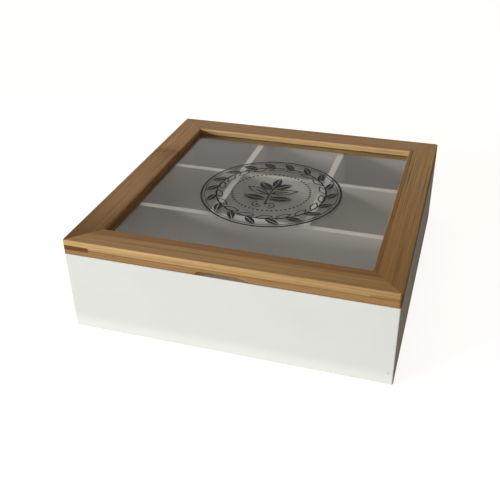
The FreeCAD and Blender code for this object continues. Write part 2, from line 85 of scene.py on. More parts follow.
def linear(code):
    """Turn an sRGB hex value such as "#c8a878" into the linear RGBA that shaders use."""
    channels = [int(code[i:i + 2], 16) / 255 for i in (1, 3, 5)]
    bent = [c / 12.92 if c <= 0.04045 else ((c + 0.055) / 1.055) ** 2.4 for c in channels]
    return (*bent, 1.0)


def opaque(colour):
    return (*colour, 1.0)


# ---------------------------------------------------------------- what a user may change
def colour_prop(name, code, description):
    return FloatVectorProperty(name=name, description=description, default=linear(code)[:3],
                               subtype="COLOR", size=3, min=0.0, max=1.0)


def length_prop(name, value, description):
    return FloatProperty(name=name, description=description, default=value, min=0.0,
                         unit="LENGTH", subtype="DISTANCE", precision=5)


class PaintSettings(bpy.types.PropertyGroup):
    wall: colour_prop("Walls", "#eaf0ed", "Paint on the outside walls")
    # The rim's darker, warmer paint is painted shade under the lid.
    rim: colour_prop("Rim", "#e0dcd2", "Paint on the upper edge of the walls")
    # The patch under the finger scoop is partly wear and partly painted shade.
    worn_and_shaded: colour_prop("Worn rim", "#c6b9a6", "Worn paint on the front rim, under the finger scoop")
    # The inner faces' darker paint is painted shade.
    inner: colour_prop("Inner faces", "#d3d2ca", "Thinner paint on the inner faces of the walls")
    inside: colour_prop("Inside", "#ebe7de", "Paint on the bottom")
    dividers: colour_prop("Dividers", "#e7e5dc", "Paint on the sides of the dividers")
    # The tops' lighter paint is a painted highlight.
    divider_tops: colour_prop("Divider tops", "#fbf8ef", "Paint on the upper edges of the dividers")
    brad_spot: colour_prop("Brad spot", "#cccac2", "Dark spot where filler has sunk over a brad")
    divider_edge: length_prop("Divider edge", 0.4 * MM, "Radius of the dividers' edges")
    spot_radius: length_prop("Spot radius", 1.15 * MM, "Radius of the spot over the brad")


class BambooSettings(bpy.types.PropertyGroup):
    front: colour_prop("Front rail", "#b48f5f", "Outer strips of the front rail")
    front_face: colour_prop("Front face", "#d9b67e",
                            "Light strip on the front of the front rail, at its left end")
    front_face_right: colour_prop("Front face, right", "#c8a774", "The same strip at its right end")
    face: colour_prop("Back rail face", "#caa874", "Light strip of the back rail beside the window")
    back: colour_prop("Back rail", "#ab8558", "Strips of the back rail")
    left: colour_prop("Left stile", "#b68b5d", "Strips of the left stile")
    reveal: colour_prop("Left reveal", "#ca975b", "Edge of the left stile towards the window")
    right: colour_prop("Right stile", "#b38d58", "Outer strips of the right stile")
    inner: colour_prop("Inner strips", "#987042", "Darker strips beside the window")
    lower: colour_prop("Lower ply", "#af8b5b", "Strips of the lower ply")
    front_aged: colour_prop("Front rail, aged", "#ece9cf", "Tint of the front rail's right end")
    left_aged: colour_prop("Left stile, aged", "#b3a264", "Tint of the left stile's front end")
    right_aged: colour_prop("Right stile, aged", "#dfd0b4", "Tint of the right stile's front end")
    glue: colour_prop("Glue", "#5e4021", "Glue line between the plies and in the mitres")
    fleck: colour_prop("Flecks", "#6b4a26", "Dark flecks where fibres end")
    joint: colour_prop("Culm joint", "#5a3c1d", "Line of the growth joint across the left stile")
    dark_spline: colour_prop("Dark splines", "#795221", "Carbonised bamboo of the splines")
    light_spline: colour_prop("Light spline", "#af8b53", "Natural bamboo of the front right spline")
    ply: length_prop("Lower ply", 5.3 * MM, "Thickness of the lower of the two plies")
    bar: length_prop("Bar", 22.5 * MM, "Width of the lid's rails and stiles")


class PrintSettings(bpy.types.PropertyGroup):
    ink: colour_prop("Ink", "#171614", "Black ceramic ink on the glass")
    ring: length_prop("Ring radius", 56.0 * MM, "Outer ring of the printed design")
    line: length_prop("Line", 1.3 * MM, "Width of the design's main lines")
    film: length_prop("Film", 0.03 * MM, "Thickness of the ink")
    leaves: IntProperty(name="Leaves", description="Pairs of leaves in the wreath", default=18,
                        min=6, max=60)


class MetalSettings(bpy.types.PropertyGroup):
    plate: colour_prop("Plates", "#b9b3a8", "Nickel plate on hinges and screws")
    wire: colour_prop("Brads", "#8f8d89", "Bright wire of the brads")


class StageSettings(bpy.types.PropertyGroup):
    floor: colour_prop("Floor", "#b3a190", "Pale floor")
    fill: colour_prop("Fill", "#ffd8bc", "Tint of the fill light")
    fill_strength: FloatProperty(name="Fill strength", description="Strength of the fill light",
                                 default=0.06, min=0.0, max=2.0)
    ceiling: FloatProperty(name="Ceiling", default=0.35, min=0.0, max=1.0,
                           description="Brightness of the ceiling that glass and metal mirror")
    softbox: FloatProperty(name="Softbox", default=0.73, min=0.0, max=1.0,
                           description="Brightness of the ceiling above, round the soft lamp")
    key_power: FloatProperty(name="Key power", default=438.0, min=0.0, unit="POWER",
                             description="Power of the key lamp, low at the front left")
    top_power: FloatProperty(name="Top power", default=10.4, min=0.0, unit="POWER",
                             description="Power of the soft lamp overhead")
    floor_size: length_prop("Floor size", 8.0, "Side of the square floor")
    lens: FloatProperty(name="Lens", description="Focal length of the camera", default=51.514,
                        min=1.0, unit="CAMERA")


# ---------------------------------------------------------------- materials
FACTOR, FIRST, SECOND = 0, 6, 7
OVER = {"data_type": "RGBA", "blend_type": "MIX"}
TIMES = {"data_type": "RGBA", "blend_type": "MULTIPLY"}
SMOOTH = {"interpolation_type": "SMOOTHSTEP"}

# Paint. Scales are per millimetre, and places and lengths are in millimetres.
SLOW_TONE, ORANGE_PEEL = (0.018, 0.018, 0.03), 0.45
# Painted shade on the inner faces of the walls changes to the outside paint within their thickness.
INNER_SHADE_REACH, OUTER_PAINT_REACH = HALF_SPAN - 2.5, HALF_SPAN - 2.0
# The foot of the front face alone is lighter: fully up to one height and not at all from the next.
FRONT_FACE, FRONT_SKIN = 0.2 - HALF_SPAN, 0.7 - HALF_SPAN
FOOT_LIGHTEST_BELOW, FOOT_PLAIN_ABOVE, FOOT_LIGHTER_BY = 2.5, 14.0, 0.125
# The rim's darker patch under the finger scoop, partly wear and partly painted shade: on the
# front wall only, this far from its middle, fading out.
FRONT_WALL, REST_OF_WALLS = -HALF_SPAN / 2, 1.0 - HALF_SPAN / 2
WORN_SHADE_HALF, WORN_SHADE_FADE = 18.0, 14.0
# The upper edge has its own tone from just under its surface: painted shade on the walls'
# rim, and a painted highlight on the dividers' tops.
RIM_SKIN, RIM_EDGE = 0.04, 0.02
SPOT_CORE, SPOT_DEPTH = 0.3, -4.0

# Bamboo. Scales are per millimetre, along the grain first; the streaks' width is each bar's own.
STREAK_LENGTH = 0.009
BROAD_TONES, FLECKS, RIPPLES = (0.004, 0.2, 0.2), (0.08, 2.0, 2.0), (0.02, 0.14, 0.14)
# Where on the noise a streak lies, and how much darker or lighter than its strip it is.
STREAK_TONES = ((0.32, -0.44), (0.45, -0.14), (0.6, -0.02), (0.72, 0.12))
STREAKS_SHOW, BROAD_SHOW = 0.85, 0.35
# Softness of the seams, and how far the aged face stays inside the bar's edges.
STRIP_EDGE, PLY_EDGE = 0.4, 0.08
UPPER_FACE_INSET = (0.6, 0.9)
# Half width and softness of each line of glue, and how strongly it shows.
GLUE_LINE, MITRE_LINE = (0.12, 0.35), (0.1, 0.4)
GLUE_SHOWS, MITRE_SHOWS = 0.55, 0.4
# The lowest edge of the lid is darker: painted shade along its lower arris.
EDGE_SHADE_FULL, EDGE_SHADE_END, EDGE_SHADE_TONE = 0.3, 1.0, 0.66
# A growth joint's line, its waviness and ridge, and the darker stretch before and after it.
CULM_LINE, CULM_WAVE, CULM_RIDGE = (0.6, 3.0), 9.0, 0.8
CULM_STRETCH = (60.0, 12.0)

# Glass, ink, metal and card. Scales are per millimetre.
PANE_WAVES, INK_GRAIN, METAL_PATCHES, CARD_GRAIN = 0.02, 1.6, 0.15, 0.3
ROLLED, TURNED, DRAWN = (0.08, 3.0, 3.0), (1.2, 1.2, 1.2), (2.0, 2.0, 0.3)
# How much light the pane lets through from behind it, from face on to edge on.
PANE_PASSES = ((0.0, 0.96), (0.5, 0.91), (0.66, 0.83), (0.83, 0.61), (0.91, 0.39), (1.0, 0.0))


def add(tree, kind, inputs=None, stops=(), **settings):
    """Add a shader node with its settings, its inputs (values, sockets or nodes) and its stops."""
    node = tree.nodes.new("ShaderNode" + kind)
    for name, value in settings.items():
        setattr(node, name, value)
    for socket, value in (inputs or {}).items():
        if isinstance(value, bpy.types.Node):
            value = next(output for output in value.outputs if output.enabled)
        if isinstance(value, bpy.types.NodeSocket):
            tree.links.new(value, node.inputs[socket])
        else:
            node.inputs[socket].default_value = value
    if stops:
        elements = node.color_ramp.elements
        while len(elements) < len(stops):
            elements.new(1.0)
        for element, (position, colour) in zip(elements, stops):
            element.position, element.color = position, colour
    return node


def new_material(name):
    """An empty node material, with its tree."""
    material = bpy.data.materials.new(name)
    material.use_nodes = True
    material.node_tree.nodes.clear()
    return material, material.node_tree


def grey(level):
    return (level, level, level, 1.0)


def shade(colour, level):
    """A colour made darker or lighter by one factor."""
    return (*(min(channel * level, 1.0) for channel in colour[:3]), 1.0)


def object_mm(tree, scale=1.0, shift=(0.0, 0.0, 0.0), quarter_turn=False):
    """Object coordinates in millimetres, times a scale; a quarter turn is for the stiles."""
    place = add(tree, "TexCoord").outputs["Object"]
    turned = add(tree, "Mapping", {"Vector": place, "Scale": (1 / MM,) * 3,
                                   "Rotation": (0.0, 0.0, -pi / 2 if quarter_turn else 0.0)})
    scales = (scale,) * 3 if isinstance(scale, float) else scale
    return add(tree, "Mapping", {"Vector": turned, "Location": shift, "Scale": scales})


def band(tree, value, centre, half, soft):
    """1 where a value is within half of the centre, falling to 0 over soft."""
    away = add(tree, "Math", {0: value, 1: centre}, operation="SUBTRACT")
    size = add(tree, "Math", {0: away}, operation="ABSOLUTE")
    return add(tree, "MapRange", {"Value": size, "From Min": half, "From Max": half + soft,
                                  "To Min": 1.0, "To Max": 0.0}, **SMOOTH)


def shade_and_lighten_walls(tree, tone, x, y, z, walls):
    """Painted shade on the inner faces of the walls, and a lighter foot on the front."""
    sides = [add(tree, "Math", {0: axis}, operation="ABSOLUTE") for axis in (x, y)]
    reach = add(tree, "Math", {0: sides[0], 1: sides[1]}, operation="MAXIMUM")
    outside = add(tree, "MapRange", {"Value": reach, "From Min": INNER_SHADE_REACH,
                                     "From Max": OUTER_PAINT_REACH})
    # Painted shade: the inner faces take the darker inner paint.
    tone = add(tree, "Mix", {FACTOR: outside, FIRST: opaque(walls.inner), SECOND: tone}, **OVER)
    low = add(tree, "MapRange", {"Value": z, "From Min": FOOT_LIGHTEST_BELOW, "From Max": FOOT_PLAIN_ABOVE,
                                 "To Min": 1.0, "To Max": 0.0}, **SMOOTH)
    face = add(tree, "MapRange", {"Value": y, "From Min": FRONT_FACE, "From Max": FRONT_SKIN,
                                  "To Min": 1.0, "To Max": 0.0})
    foot = add(tree, "Math", {0: low, 1: face}, operation="MULTIPLY")
    lighter_foot = add(tree, "Math", {0: foot, 1: FOOT_LIGHTER_BY, 2: 1.0}, operation="MULTIPLY_ADD")
    return add(tree, "Mix", {FACTOR: 1.0, FIRST: tone, SECOND: lighter_foot}, **TIMES)


def wear_and_shade_rim(tree, rim, x, y, walls):
    """The rim's paint, darker under the finger scoop: wear there, and painted shade from the scoop.
    """
    front = add(tree, "MapRange", {"Value": y, "From Min": FRONT_WALL, "From Max": REST_OF_WALLS,
                                   "To Min": 1.0, "To Max": 0.0})
    under_scoop = add(tree, "Math", {0: band(tree, x, 0.0, WORN_SHADE_HALF, WORN_SHADE_FADE), 1: front},
                  operation="MULTIPLY")
    return add(tree, "Mix", {FACTOR: under_scoop, FIRST: rim, SECOND: opaque(walls.worn_and_shaded)}, **OVER)


def satin_paint(name, colour, rim=None, rim_level=0.0, walls=None, brad=None):
    # Satin acrylic paint sprayed on softwood boards: even, softly shining white with a faint
    # orange peel of about 2 mm and a slow change of tone over a few centimetres. The upper edge
    # of a board has a tone of its own: painted shade on the walls' rim, and a painted highlight
    # on the dividers' tops. On the walls, the inner faces are darker as painted shade, the foot
    # of the front is lighter, the rim is darker under the finger scoop from wear and painted
    # shade, and the filler over one brad has sunk a little.
    material, tree = new_material(name)
    x, y, z = add(tree, "SeparateXYZ", {0: object_mm(tree)}).outputs
    cloud = add(tree, "TexNoise", {"Vector": object_mm(tree, SLOW_TONE), "Scale": 1.0,
                                   "Detail": 3.0})
    peel = add(tree, "TexNoise", {"Vector": object_mm(tree, ORANGE_PEEL), "Scale": 1.0,
                                  "Detail": 4.0})
    tone = add(tree, "ValToRGB", {"Fac": cloud}, stops=((0.3, shade(colour, 0.965)), (0.7, colour)))
    rough = add(tree, "MapRange", {"Value": peel, "To Min": 0.46, "To Max": 0.56})
    height = peel
    if walls:
        tone = shade_and_lighten_walls(tree, tone, x, y, z, walls)
        rim = wear_and_shade_rim(tree, rim, x, y, walls)
    # The upper edge's tone is painted: shade on the walls' rim, a highlight on the dividers' tops.
    if rim is not None:
        top = add(tree, "MapRange", {"Value": z, "From Min": rim_level - RIM_SKIN,
                                     "From Max": rim_level - RIM_EDGE})
        tone = add(tree, "Mix", {FACTOR: top, FIRST: tone, SECOND: rim}, **OVER)
    if brad is not None:
        place = add(tree, "TexCoord").outputs["Object"]
        away = add(tree, "VectorMath", {0: place, 1: brad}, operation="DISTANCE")
        dent = add(tree, "MapRange", {"Value": away, "From Min": walls.spot_radius * SPOT_CORE,
                                      "From Max": walls.spot_radius, "To Min": 1.0,
                                      "To Max": 0.0}, **SMOOTH)
        tone = add(tree, "Mix", {FACTOR: dent, FIRST: tone, SECOND: opaque(walls.brad_spot)},
                   **OVER)
        height = add(tree, "Math", {0: dent, 1: SPOT_DEPTH, 2: peel}, operation="MULTIPLY_ADD")
    bump = add(tree, "Bump", {"Height": height, "Strength": 0.12, "Distance": 0.1 * MM})
    paint = add(tree, "BsdfPrincipled", {"Base Color": tone, "Roughness": rough, "Normal": bump,
                                         "Specular IOR Level": 0.3})
    add(tree, "OutputMaterial", {"Surface": paint})
    return material


def strip_tones(tree, strips, lower, along, from_middle, upper_ply):
    """Tones of the strips of the upper ply over the tone of the lower ply.

    The strips are given from the middle of the lid outwards, each with the distance at which it
    starts and its tone, and with a second tone where it changes towards the far end of the bar.
    """
    upper = strips[0][1]
    for edge, tone, *far_tone in strips[1:]:
        if far_tone:
            slide = add(tree, "MapRange", {"Value": along, "From Min": -HALF_SPAN,
                                           "From Max": HALF_SPAN}, **SMOOTH)
            tone = add(tree, "Mix", {FACTOR: slide, FIRST: tone, SECOND: far_tone[0]}, **OVER)
        beyond = add(tree, "MapRange", {"Value": from_middle, "From Min": edge - STRIP_EDGE,
                                        "From Max": edge + STRIP_EDGE}, **SMOOTH)
        upper = add(tree, "Mix", {FACTOR: beyond, FIRST: upper, SECOND: tone}, **OVER)
    return add(tree, "Mix", {FACTOR: upper_ply, FIRST: lower, SECOND: upper}, **OVER)


def age_end(tree, colour, along, from_middle, window_edge, ageing):
    """Tint the upper face of a bar towards one end: the end, where the tint starts, its tone."""
    end, start, end_tone = ageing
    fresh = add(tree, "MapRange", {"Value": along, "From Min": HALF_SPAN * end,
                                   "From Max": HALF_SPAN * start}, **SMOOTH)
    aged = add(tree, "ValToRGB", {"Fac": fresh}, stops=((0.0, end_tone), (1.0, grey(1.0))))
    inside, outside = window_edge + UPPER_FACE_INSET[0], HALF_SPAN - UPPER_FACE_INSET[1]
    upper_face = band(tree, from_middle, (inside + outside) / 2, (outside - inside) / 2,
                      STRIP_EDGE)
    return add(tree, "Mix", {FACTOR: upper_face, FIRST: colour, SECOND: aged}, **TIMES)


def cross_culm(tree, colour, height, wave, upper_ply, where, depth, joint_tone):
    """A growth joint across the upper ply: a darker stretch before it, a line and a ridge."""
    line = add(tree, "Math", {0: band(tree, wave, where, *CULM_LINE), 1: upper_ply},
               operation="MULTIPLY")
    stretch = add(tree, "MapRange", {"Value": wave, "From Min": where - CULM_STRETCH[0],
                                     "From Max": where + CULM_STRETCH[1]})
    dusk = add(tree, "ValToRGB", {"Fac": stretch},
               stops=((0.0, grey(0.87)), (0.5, linear("#ebebe6")), (0.82, linear("#d2cfc0")),
                      (1.0, grey(1.0))))
    colour = add(tree, "Mix", {FACTOR: upper_ply, FIRST: colour, SECOND: dusk}, **TIMES)
    strong = add(tree, "Math", {0: line, 1: depth}, operation="MULTIPLY")
    colour = add(tree, "Mix", {FACTOR: strong, FIRST: colour, SECOND: joint_tone}, **OVER)
    height = add(tree, "Math", {0: line, 1: CULM_RIDGE, 2: height}, operation="MULTIPLY_ADD")
    return colour, height


def glue_lines(tree, along, across, up, ply_top, mitred):
    """How much the glue between the plies and in the mitres shows."""
    glue = band(tree, up, ply_top, *GLUE_LINE)
    if mitred:
        sides = [add(tree, "Math", {0: axis}, operation="ABSOLUTE") for axis in (along, across)]
        mitre = add(tree, "Math", {0: sides[0], 1: sides[1]}, operation="SUBTRACT")
        joint = add(tree, "Math", {0: band(tree, mitre, 0.0, *MITRE_LINE), 1: MITRE_SHOWS},
                    operation="MULTIPLY")
        glue = add(tree, "Math", {0: glue, 1: joint}, operation="MAXIMUM")
    return add(tree, "Math", {0: glue, 1: GLUE_SHOWS}, operation="MULTIPLY")


def strip_bamboo(name, sizes, strips, lower, front_to_back=False, ageing=None, growth=(),
                 phase=0.0, contrast=1.0, fibre=0.6, mitred=True):
    # Strip-laminated bamboo, planed and lacquered satin: brown fibre streaks along the grain, two
    # plies of flat strips with a dark glue line, slightly different tones from strip to strip,
    # and the faint growth joints that cross a strip every 20 to 40 cm. Fibres are about 0.3 mm
    # wide and glue lines 0.1 mm; both are drawn three to six times as wide, so that they show.
    # The phase gives each bar a place of its own in the grain, and a growth joint is given by its
    # place along the bar in millimetres and the strength of its line.
    material, tree = new_material(name)
    ply_top = (RAIL_LOW.z + sizes.ply) / MM
    shift = (phase, phase * 0.37, phase * 0.11)
    grain = object_mm(tree, quarter_turn=front_to_back)
    along, across, up = add(tree, "SeparateXYZ", {0: grain}).outputs
    streaks = object_mm(tree, (STREAK_LENGTH, fibre, fibre), shift, front_to_back)
    streak = add(tree, "TexNoise", {"Vector": streaks, "Scale": 1.0, "Detail": 4.0,
                                    "Roughness": 0.62})
    broad = add(tree, "TexNoise", {"Vector": object_mm(tree, BROAD_TONES, shift, front_to_back),
                                   "Scale": 1.0, "Detail": 2.0})
    fleck = add(tree, "TexNoise", {"Vector": object_mm(tree, FLECKS, shift, front_to_back),
                                   "Scale": 1.0, "Detail": 2.0, "Roughness": 0.5})

    upper_ply = add(tree, "MapRange", {"Value": up, "From Min": ply_top - PLY_EDGE,
                                       "From Max": ply_top + PLY_EDGE}, **SMOOTH)
    from_middle = add(tree, "Math", {0: across}, operation="ABSOLUTE")
    colour = strip_tones(tree, strips, lower, along, from_middle, upper_ply)
    if ageing:
        colour = age_end(tree, colour, along, from_middle, strips[0][0], ageing)
    tones = add(tree, "ValToRGB", {"Fac": streak},
                stops=[(at, grey(1.0 + contrast * change)) for at, change in STREAK_TONES])
    colour = add(tree, "Mix", {FACTOR: STREAKS_SHOW, FIRST: colour, SECOND: tones}, **TIMES)
    wide = add(tree, "ValToRGB", {"Fac": broad},
               stops=((0.3, linear("#d9c6a8")), (0.7, grey(1.0))))
    colour = add(tree, "Mix", {FACTOR: BROAD_SHOW, FIRST: colour, SECOND: wide}, **TIMES)
    specks = add(tree, "MapRange", {"Value": fleck, "From Min": 0.58, "From Max": 0.72,
                                    "To Max": 0.4})
    colour = add(tree, "Mix", {FACTOR: specks, FIRST: colour, SECOND: opaque(sizes.fleck)}, **OVER)

    ripple = add(tree, "TexNoise", {"Vector": object_mm(tree, RIPPLES, shift, front_to_back),
                                    "Scale": 1.0})
    wave = add(tree, "Math", {0: ripple, 1: CULM_WAVE, 2: along}, operation="MULTIPLY_ADD")
    height = add(tree, "Math", {0: streak, 1: 0.6, 2: fleck}, operation="MULTIPLY_ADD")
    for where, depth in growth:
        colour, height = cross_culm(tree, colour, height, wave, upper_ply, where, depth,
                                    opaque(sizes.joint))
    glue = glue_lines(tree, along, across, up, ply_top, mitred)
    colour = add(tree, "Mix", {FACTOR: glue, FIRST: colour, SECOND: opaque(sizes.glue)}, **OVER)
    # Painted shade: the lowest edge of the lid is darkened.
    edge_shade = add(tree, "MapRange", {"Value": up, "From Min": RAIL_FOOT + EDGE_SHADE_FULL,
                                     "From Max": RAIL_FOOT + EDGE_SHADE_END,
                                     "To Min": EDGE_SHADE_TONE, "To Max": 1.0}, **SMOOTH)
    colour = add(tree, "Mix", {FACTOR: 1.0, FIRST: colour, SECOND: edge_shade}, **TIMES)

    bump = add(tree, "Bump", {"Height": height, "Strength": 0.2, "Distance": 0.12 * MM})
    rough = add(tree, "MapRange", {"Value": streak, "To Min": 0.62, "To Max": 0.46})
    wood = add(tree, "BsdfPrincipled", {"Base Color": colour, "Roughness": rough, "Normal": bump,
                                        "Specular IOR Level": 0.22})
    add(tree, "OutputMaterial", {"Surface": wood})
    return material


def float_glass():
    # Clear float glass with polished faces: colourless face on and brighter with reflections at a
    # low angle. Lamps reach what is behind it, and less of their light gets through the flatter it
    # falls. Its waves are about 50 mm long.
    material, tree = new_material("clear_float_glass")
    drawn = add(tree, "TexNoise", {"Vector": object_mm(tree, PANE_WAVES), "Scale": 1.0,
                                   "Detail": 1.0})
    bump = add(tree, "Bump", {"Height": drawn, "Strength": 0.03, "Distance": 0.05 * MM})
    glass = add(tree, "BsdfPrincipled", {"Base Color": linear("#f7f6f2"), "Roughness": 0.0,
                                         "IOR": 1.5, "Transmission Weight": 1.0,
                                         "Specular IOR Level": 0.2, "Normal": bump})
    facing = add(tree, "LayerWeight", {"Blend": 0.5}).outputs["Facing"]
    passed = add(tree, "ValToRGB", {"Fac": facing},
                 stops=[(at, grey(level)) for at, level in PANE_PASSES])
    clear = add(tree, "BsdfTransparent", {"Color": passed})
    path = add(tree, "LightPath")
    through = add(tree, "Math", {0: path.outputs["Is Shadow Ray"],
                                 1: path.outputs["Is Diffuse Ray"]}, operation="MAXIMUM")
    mixed = add(tree, "MixShader", {0: through, 1: glass, 2: clear})
    add(tree, "OutputMaterial", {"Surface": mixed})
    return material


def screen_ink(colour):
    # Black ceramic ink fired onto the pane: dense, nearly matt, a little uneven over half a
    # millimetre.
    material, tree = new_material("black_ceramic_ink")
    grain = add(tree, "TexNoise", {"Vector": object_mm(tree, INK_GRAIN), "Scale": 1.0,
                                   "Detail": 3.0})
    tone = add(tree, "ValToRGB", {"Fac": grain}, stops=((0.3, colour), (0.75, shade(colour, 1.8))))
    rough = add(tree, "MapRange", {"Value": grain, "To Min": 0.55, "To Max": 0.75})
    bump = add(tree, "Bump", {"Height": grain, "Strength": 0.1, "Distance": 0.05 * MM})
    ink = add(tree, "BsdfPrincipled", {"Base Color": tone, "Roughness": rough, "Normal": bump,
                                       "Specular IOR Level": 0.2})
    add(tree, "OutputMaterial", {"Surface": ink})
    return material


def plated_steel(name, colour, line_scale, rough_low, rough_high):
    # Nickel-plated pressed steel, or the bright wire of the brads: grey with a warm cast, fine
    # lines from rolling or drawing and a few darker patches from handling.
    material, tree = new_material(name)
    lines = add(tree, "TexNoise", {"Vector": object_mm(tree, line_scale), "Scale": 1.0,
                                   "Detail": 3.0})
    cloud = add(tree, "TexNoise", {"Vector": object_mm(tree, METAL_PATCHES), "Scale": 1.0,
                                   "Detail": 2.0})
    tone = add(tree, "ValToRGB", {"Fac": cloud}, stops=((0.3, shade(colour, 0.82)), (0.7, colour)))
    rough = add(tree, "MapRange", {"Value": lines, "To Min": rough_low, "To Max": rough_high})
    bump = add(tree, "Bump", {"Height": lines, "Strength": 0.12, "Distance": 0.03 * MM})
    steel = add(tree, "BsdfPrincipled", {"Base Color": tone, "Metallic": 1.0, "Roughness": rough,
                                         "Normal": bump})
    add(tree, "OutputMaterial", {"Surface": steel})
    return material


def dress(names, material):
    """Give CAD nodes one material."""
    for name in names:
        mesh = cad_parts[name].data
        mesh.materials.clear()
        mesh.materials.append(material)


# ---------------------------------------------------------------- pieces
TURN = 2 * pi
SAME_POINT, SHARP = 0.01 * MM, radians(40)

# The wreath: insets from its outer ring, and its leaves.
SECOND_RING, STEM, BEADS, SPRIG = 2.6 * MM, 12.0 * MM, 24.5 * MM, 26.5 * MM
LEAF_LENGTH, LEAF_WIDTH, LEAF_ANGLE, STALK = 14 * MM, 6.0 * MM, radians(34), 0.2 * MM
LEAF_TAPER = 0.35
PRINT_GAP = 0.01 * MM

# Rings of the wreath, each with its inset and its line, in parts of the design's main line. The
# other lines are in the same parts.
RINGS = ((0.0, 1.3), (SECOND_RING, 0.5), (STEM, 0.8))
LEAF_VEIN, LEAF_OUTLINE, BEAD = 0.4, 0.75, 0.75
SPRIG_LINE, BUD_VEIN, PAIR_VEIN, PAIR_OUTLINE, INNER_VEIN = 1.1, 0.5, 0.55, 0.9, 0.1
CURL_LINE, CURL_DOT = 0.8, 0.9

# The sprig, in parts of the radius that is left for it. Each pair of leaves has its height on the
# stem, its angle above level in degrees, its length, and whether it is solid. The left leaf of a
# pair sits a little lower and is steeper, and a hollow leaf has a slim solid one in it.
SPRIG_FOOT, SPRIG_TOP, SPRIG_BOW = -0.74, 0.30, 4.5
BUD_LENGTH, BUD_WIDTH, BUD_ANGLE = 0.60, 0.24, radians(86)
BUD_RIGHT, BUD_DOWN = 0.01, 0.04
PAIRS = ((0.16, 42, 0.60, True), (-0.10, 24, 0.78, False), (-0.38, 6, 0.68, True))
PAIR_WIDTH, PAIR_OUT, LEFT_LOWER, LEFT_STEEPER = 0.30, 0.02, 0.07, 3
SLIM_LENGTH, SLIM_WIDTH = 0.7, 0.07
CURL, CURL_OUT, CURL_DOWN, CURL_SWEEP = 0.13, 0.17, 0.03, 1.35 * pi


def mesh_object(name, bm, material):
    """Turn a bmesh into an object at the origin."""
    mesh = bpy.data.meshes.new(name)
    bm.to_mesh(mesh)
    bm.free()
    mesh.materials.append(material)
    made = bpy.data.objects.new(name, mesh)
    bpy.context.scene.collection.objects.link(made)
    return made


def new_piece(name, bm, material, body):
    """Make a piece from a bmesh, with its material, riding on a body."""
    bmesh.ops.recalc_face_normals(bm, faces=bm.faces[:])
    piece = mesh_object(name, bm, material)
    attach(piece, body)
    return piece


def ease_edges(name, radius):
    """Round a CAD node's sharp edges: weld its loose triangles, then bevel."""
    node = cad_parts[name]
    weld = node.modifiers.new("weld", "WELD")
    weld.merge_threshold = SAME_POINT
    bevel = node.modifiers.new("eased_edges", "BEVEL")
    bevel.width = radius
    bevel.segments = 2
    bevel.profile = 0.5
    bevel.limit_method = "ANGLE"
    bevel.angle_limit = SHARP
    bevel.use_clamp_overlap = True


def ring_line(bm, radius, width, sweep=TURN, start=0.0, steps=120, centre=(0.0, 0.0)):
    """Flat ring or arc of a given line width."""
    edge = [bm.verts.new((radius + side * width / 2, 0.0, 0.0)) for side in (-1, 1)]
    line = bm.edges.new(edge)
    bmesh.ops.rotate(bm, verts=edge, cent=(0, 0, 0), matrix=Matrix.Rotation(start, 3, "Z"))
    before = set(bm.verts)
    bmesh.ops.spin(bm, geom=edge + [line], cent=(0, 0, 0), axis=(0, 0, 1), angle=sweep,
                   steps=steps, use_merge=sweep == TURN, use_duplicate=False)
    fresh = [vert for vert in bm.verts if vert not in before or vert in edge]
    bmesh.ops.translate(bm, verts=fresh, vec=(*centre, 0.0))


def leaf(bm, length, width, place, heading, hollow=None, vein=None):
    """Flat pointed leaf from its stalk: an outline of a line's width, or solid with a bare vein."""
    for side in (1, -1) if vein else (0,):
        made = bmesh.ops.create_circle(bm, cap_ends=True, segments=28, radius=0.5)["verts"]
        for vert in made:
            t = min(abs(vert.co.x * 2), 1.0)
            vert.co.y *= (1 - t * t) ** 0.5 * (1 - LEAF_TAPER * vert.co.x)
        bmesh.ops.scale(bm, verts=made, vec=(length, width, 1.0))
        faces = list({face for vert in made for face in vert.link_faces})
        if side:
            edges = list({edge for vert in made for edge in vert.link_edges})
            cut = bmesh.ops.bisect_plane(bm, geom=made + edges + faces, dist=1e-7,
                                         plane_co=(0, side * vein / 2, 0), plane_no=(0, side, 0),
                                         clear_inner=True)
            made = [item for item in cut["geom"] if isinstance(item, bmesh.types.BMVert)]
            made = list({vert for vert in made if vert.is_valid})
        elif hollow:
            inner = bmesh.ops.inset_region(bm, faces=faces, thickness=hollow, use_boundary=True,
                                           use_even_offset=True)["faces"]
            made = list({vert for face in faces + inner for vert in face.verts})
            bmesh.ops.delete(bm, geom=faces, context="FACES_ONLY")
        turn = Matrix.Translation((*place, 0.0)) @ Matrix.Rotation(heading, 4, "Z")
        turn = turn @ Matrix.Translation((length / 2, 0, 0))
        bmesh.ops.transform(bm, verts=made, matrix=turn)


def dot(bm, radius, place):
    bmesh.ops.create_circle(bm, cap_ends=True, segments=12, radius=radius,
                            matrix=Matrix.Translation((*place, 0.0)))


def polar(radius, angle):
    return (radius * cos(angle), radius * sin(angle))


def draw_wreath(bm, sizes):
    """Double ring, a ring-shaped stem with leaves on both sides and a beaded inner ring."""
    line, count = sizes.line, sizes.leaves
    for inset, width in RINGS:
        ring_line(bm, sizes.ring - inset, width * line)
    stem = sizes.ring - STEM
    for index in range(count):
        angle = TURN * index / count
        forward = angle + pi / 2
        leaf(bm, LEAF_LENGTH, LEAF_WIDTH, polar(stem + STALK, angle), forward - LEAF_ANGLE,
             vein=LEAF_VEIN * line)
        leaf(bm, LEAF_LENGTH, LEAF_WIDTH, polar(stem - STALK, angle + pi / count),
             forward + LEAF_ANGLE, hollow=LEAF_OUTLINE * line)
    beads = 3 * count
    for index in range(beads):
        dot(bm, BEAD * line, polar(sizes.ring - BEADS, TURN * index / beads))


